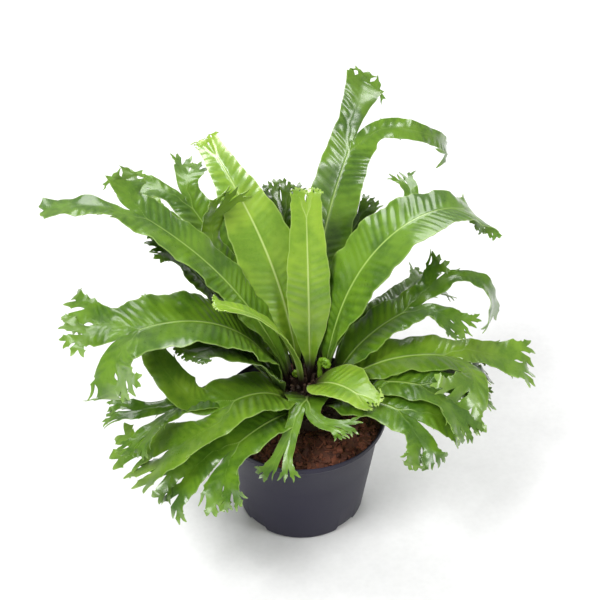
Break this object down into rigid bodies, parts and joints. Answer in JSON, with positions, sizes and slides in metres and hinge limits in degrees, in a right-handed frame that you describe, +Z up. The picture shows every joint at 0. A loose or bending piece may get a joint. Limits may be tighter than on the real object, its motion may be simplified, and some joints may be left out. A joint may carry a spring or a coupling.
{
  "type": "potted fern",
  "caption": "Crested bird's-nest fern with broad glossy fronds that end in forked, fingered crests, growing in a plain round nursery pot.",
  "frame": {"origin": "middle of the pot's flat underside, on the surface that it stands on", "axes": "+Z up along the pot's axis, +X to the plant's right, -Y towards the front"},
  "size_m": [0.4846, 0.4124, 0.3944],
  "materials": {
    "pot_plastic": "dark anthracite, satin, moulded",
    "potting_mix": "damp red-brown coir and bark crumbs",
    "crown_fibre": "dark brown scaly stalk bases",
    "leaf": "glossy, pleated across, paler midrib",
    "young_leaf": "glossy, light yellow-green",
    "crozier_leaf": "satin, pale green with brown scales"
  },
  "bodies": {
    "root": {"pot": "pot_plastic", "soil": "potting_mix", "crown": "crown_fibre", "frond_01": "leaf", "frond_02": "young_leaf", "frond_03": "young_leaf", "frond_04": "leaf", "frond_05": "leaf", "frond_06": "leaf", "frond_07": "leaf", "frond_08": "leaf", "frond_09": "young_leaf", "frond_10": "leaf", "frond_11": "leaf", "frond_12": "leaf", "frond_13": "leaf", "frond_14": "young_leaf", "frond_15": "young_leaf", "frond_16": "leaf", "frond_17": "leaf", "frond_18": "leaf", "frond_19": "leaf", "frond_20": "leaf", "frond_21": "leaf", "frond_22": "leaf", "frond_23": "leaf", "frond_24": "leaf", "frond_25": "leaf", "frond_26": "leaf", "frond_27": "leaf", "frond_28": "leaf", "crozier_1": "crozier_leaf", "crozier_2": "crozier_leaf"}
  },
  "joints": []
}
